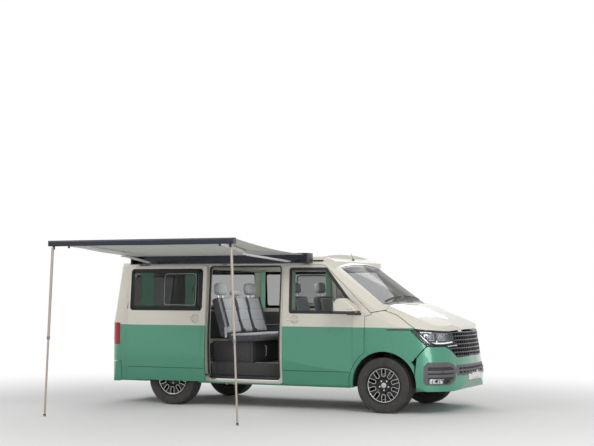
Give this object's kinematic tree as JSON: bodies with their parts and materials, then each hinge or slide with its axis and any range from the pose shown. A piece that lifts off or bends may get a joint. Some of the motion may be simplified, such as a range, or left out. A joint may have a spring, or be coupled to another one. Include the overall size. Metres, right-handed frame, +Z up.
{
  "type": "camper van",
  "caption": "Two-tone camper van with an open sliding side door, a lifting roof, and a wind-out awning standing on two legs.",
  "frame": {"origin": "ground level, under the middle of the whole object's outline, awning included", "axes": "+X forward, +Y to the van's left, +Z up"},
  "size_m": [4.904, 4.182, 2.111],
  "materials": {
    "cream_paint": "gloss",
    "green_paint": "metallic gloss, cream above the belt line",
    "clear_glass": "tinted",
    "lamp_lens": "clear",
    "red_lens": "red lens",
    "dark_plastic": "matte",
    "floor_metal": "satin",
    "chassis_steel": "black paint",
    "exhaust_steel": "satin",
    "seat_shell": "matte",
    "seat_fabric": "woven",
    "bed_board": "laminate",
    "canvas": "woven",
    "tyre_rubber": "matte",
    "rim_alloy": "gloss black with machined edges",
    "dark_alloy": "anodised",
    "silver_alloy": "satin"
  },
  "bodies": {
    "van": {"right_body_side": "green_paint", "left_body_side": "green_paint", "roof_frame": "cream_paint", "rear_frame": "green_paint", "floor_pan": "floor_metal", "sliding_door": "green_paint", "side_windows": "clear_glass", "windscreen": "clear_glass", "windscreen_frame": "cream_paint", "bulkhead": "floor_metal", "front_wings": "green_paint", "headlights": "lamp_lens", "grille": "dark_plastic", "front_bumper": "green_paint", "bumper_trim": "dark_plastic", "rear_bumper": "green_paint", "tail_lamps": "red_lens", "roof_cap": "cream_paint", "roof_bellows": "canvas", "roof_bed": "bed_board", "front_subframe": "chassis_steel", "engine_block": "chassis_steel", "rear_axle": "chassis_steel", "exhaust": "exhaust_steel", "arch_liners": "dark_plastic", "seat_bases": "seat_shell", "seat_cushions": "seat_fabric", "dashboard": "seat_shell", "wipers": "dark_plastic", "awning_case": "dark_alloy", "awning_canopy": "canvas"},
    "right_door": {"right_front_door": "green_paint", "right_front_glass": "clear_glass"},
    "left_door": {"left_front_door": "green_paint", "left_front_glass": "clear_glass"},
    "rear_door": {"tailgate": "cream_paint", "tailgate_glass": "clear_glass"},
    "engine_lid": {"bonnet": "cream_paint"},
    "lifting_roof": {"pop_roof": "cream_paint"},
    "right_hub": {"right_knuckle": "chassis_steel"},
    "left_hub": {"left_knuckle": "chassis_steel"},
    "wheel_front_right": {"tyre_front_right": "tyre_rubber", "rim_front_right": "rim_alloy"},
    "wheel_front_left": {"tyre_front_left": "tyre_rubber", "rim_front_left": "rim_alloy"},
    "wheel_rear_right": {"tyre_rear_right": "tyre_rubber", "rim_rear_right": "rim_alloy"},
    "wheel_rear_left": {"tyre_rear_left": "tyre_rubber", "rim_rear_left": "rim_alloy"},
    "hand_wheel": {"steering_wheel": "dark_plastic"},
    "front_upper_arm_link": {"front_upper_arm": "silver_alloy"},
    "front_forearm_link": {"front_forearm": "silver_alloy"},
    "rear_upper_arm_link": {"rear_upper_arm": "silver_alloy"},
    "rear_forearm_link": {"rear_forearm": "silver_alloy"},
    "bar": {"awning_bar": "dark_alloy"},
    "front_leg_upper_tube": {"front_leg_upper": "silver_alloy"},
    "front_leg_lower_tube": {"front_leg_lower": "silver_alloy"},
    "rear_leg_upper_tube": {"rear_leg_upper": "silver_alloy"},
    "rear_leg_lower_tube": {"rear_leg_lower": "silver_alloy"}
  },
  "joints": [
    {"name": "right_door_hinge", "type": "hinge", "parent": "van", "child": "right_door", "pos_m": [1.312, -0.017, 0.8], "axis": [0, 0, 1], "range_deg": [0, 65]},
    {"name": "left_door_hinge", "type": "hinge", "parent": "van", "child": "left_door", "pos_m": [1.312, 1.895, 0.8], "axis": [0, 0, -1], "range_deg": [0, 65]},
    {"name": "tailgate_hinge", "type": "hinge", "parent": "van", "child": "rear_door", "pos_m": [-2.32, 0.939, 1.846], "axis": [0, 1, 0], "range_deg": [0, 85]},
    {"name": "bonnet_hinge", "type": "hinge", "parent": "van", "child": "engine_lid", "pos_m": [1.535, 0.939, 1.36], "axis": [0, -1, 0], "range_deg": [0, 55]},
    {"name": "roof_hinge", "type": "hinge", "parent": "van", "child": "lifting_roof", "pos_m": [-2.195, 0.939, 1.9], "axis": [0, -1, 0], "range_deg": [0, 21], "deforming": ["roof_bellows"]},
    {"name": "left_steer", "type": "hinge", "parent": "van", "child": "left_hub", "pos_m": [1.544, 1.679, 0.345], "axis": [0, 0, 1], "range_deg": [-35, 35]},
    {"name": "right_steer", "type": "hinge", "parent": "van", "child": "right_hub", "pos_m": [1.544, 0.199, 0.345], "axis": [0, 0, 1], "range_deg": [-35, 35]},
    {"name": "front_right_wheel_turn", "type": "hinge", "parent": "right_hub", "child": "wheel_front_right", "pos_m": [1.544, 0.125, 0.345], "axis": [0, 1, 0], "continuous": true},
    {"name": "front_left_wheel_turn", "type": "hinge", "parent": "left_hub", "child": "wheel_front_left", "pos_m": [1.544, 1.753, 0.345], "axis": [0, 1, 0], "continuous": true},
    {"name": "rear_right_wheel_turn", "type": "hinge", "parent": "van", "child": "wheel_rear_right", "pos_m": [-1.456, 0.125, 0.345], "axis": [0, 1, 0], "continuous": true},
    {"name": "rear_left_wheel_turn", "type": "hinge", "parent": "van", "child": "wheel_rear_left", "pos_m": [-1.456, 1.753, 0.345], "axis": [0, 1, 0], "continuous": true},
    {"name": "steering_wheel_turn", "type": "hinge", "parent": "van", "child": "hand_wheel", "pos_m": [0.855, 1.349, 1.09], "axis": [-0.8829, 0, 0.4695], "range_deg": [-525, 525]},
    {"name": "front_shoulder", "type": "hinge", "parent": "van", "child": "front_upper_arm_link", "pos_m": [0.315, -0.091, 1.9], "axis": [0, -0.0741, -0.9973], "range_deg": [0, 78.4], "deforming": ["awning_canopy"]},
    {"name": "front_elbow", "type": "hinge", "parent": "front_upper_arm_link", "child": "front_forearm_link", "pos_m": [0.145, -1.033, 1.97], "axis": [0, -0.0741, -0.9973], "range_deg": [-156.8, 0]},
    {"name": "front_wrist", "type": "hinge", "parent": "front_forearm_link", "child": "bar", "pos_m": [0.315, -1.975, 2.04], "axis": [0, -0.0741, -0.9973], "range_deg": [0, 78.4]},
    {"name": "rear_shoulder", "type": "hinge", "parent": "van", "child": "rear_upper_arm_link", "pos_m": [-1.745, -0.091, 1.9], "axis": [0, -0.0741, -0.9973], "range_deg": [-78.4, 0]},
    {"name": "rear_elbow", "type": "hinge", "parent": "rear_upper_arm_link", "child": "rear_forearm_link", "pos_m": [-1.575, -1.033, 1.97], "axis": [0, -0.0741, -0.9973], "range_deg": [0, 156.8]},
    {"name": "front_leg_fold", "type": "hinge", "parent": "bar", "child": "front_leg_upper_tube", "pos_m": [0.485, -2.022, 2.018], "axis": [0, 1, 0], "range_deg": [0, 92]},
    {"name": "front_leg_slide", "type": "slide", "parent": "front_leg_upper_tube", "child": "front_leg_lower_tube", "axis": [-0.0436, 0, 0.9991], "range_m": [0, 0.85]},
    {"name": "rear_leg_fold", "type": "hinge", "parent": "bar", "child": "rear_leg_upper_tube", "pos_m": [-1.915, -2.07, 2.018], "axis": [0, -1, 0], "range_deg": [0, 92]},
    {"name": "rear_leg_slide", "type": "slide", "parent": "rear_leg_upper_tube", "child": "rear_leg_lower_tube", "axis": [0.0436, 0, 0.9991], "range_m": [0, 0.85]}
  ],
  "couplings": [
    {"joint": "right_steer", "follows": "left_steer", "ratio": 1},
    {"joint": "steering_wheel_turn", "follows": "left_steer", "ratio": 15},
    {"joint": "front_elbow", "follows": "front_shoulder", "ratio": -2},
    {"joint": "front_wrist", "follows": "front_shoulder", "ratio": 1},
    {"joint": "rear_shoulder", "follows": "front_shoulder", "ratio": -1},
    {"joint": "rear_elbow", "follows": "front_shoulder", "ratio": 2}
  ]
}
